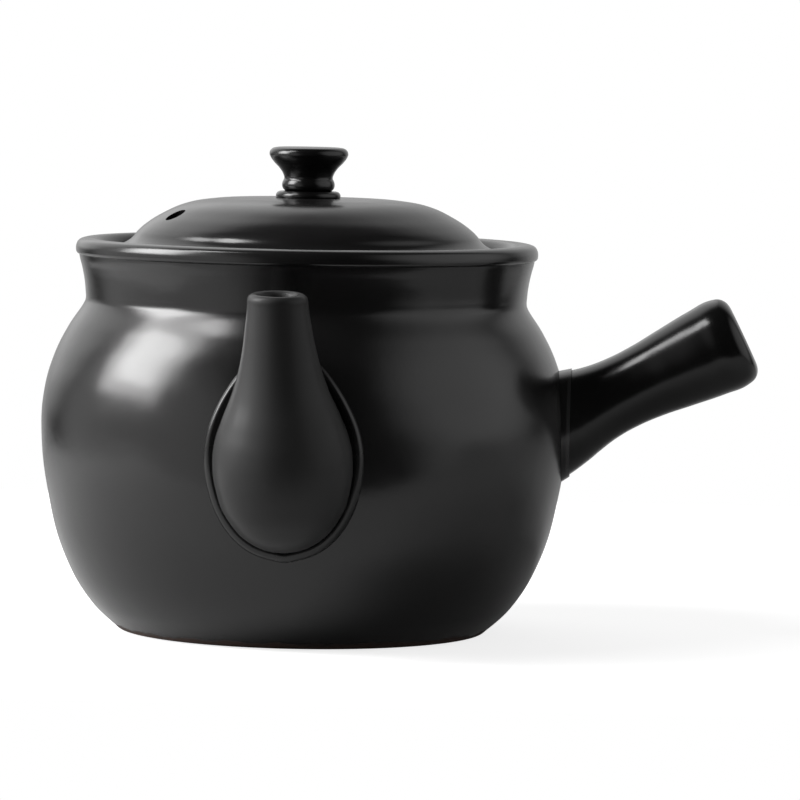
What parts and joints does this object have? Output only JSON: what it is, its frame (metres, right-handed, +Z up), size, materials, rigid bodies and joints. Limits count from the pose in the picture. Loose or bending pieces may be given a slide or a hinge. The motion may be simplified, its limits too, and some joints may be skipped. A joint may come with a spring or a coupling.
{
  "type": "sand pot",
  "caption": "Black stoneware medicine pot with a round belly, a teardrop spout at the front, a hollow side handle and a domed lid with a turned knob.",
  "frame": {"origin": "middle of the flat base that the pot stands on", "axes": "+Z up along the pot's turning axis, +X towards the handle, -Y towards the spout"},
  "size_m": [0.2855, 0.2371, 0.1928],
  "materials": {
    "satin_black_glaze": "satin, slightly mottled black glaze over stoneware",
    "gloss_black_glaze": "glossy black glaze over stoneware"
  },
  "bodies": {
    "pot": {"pot_body": "satin_black_glaze", "spout": "satin_black_glaze", "spout_luting_ring": "satin_black_glaze", "handle": "gloss_black_glaze", "handle_luting_collar": "satin_black_glaze"},
    "lid": {"lid": "satin_black_glaze", "lid_knob": "gloss_black_glaze", "knob_luting_ring": "gloss_black_glaze"}
  },
  "joints": [
    {"name": "lid_lift", "type": "slide", "parent": "pot", "child": "lid", "axis": [0, 0, 1], "range_m": [0, 0.06]}
  ]
}
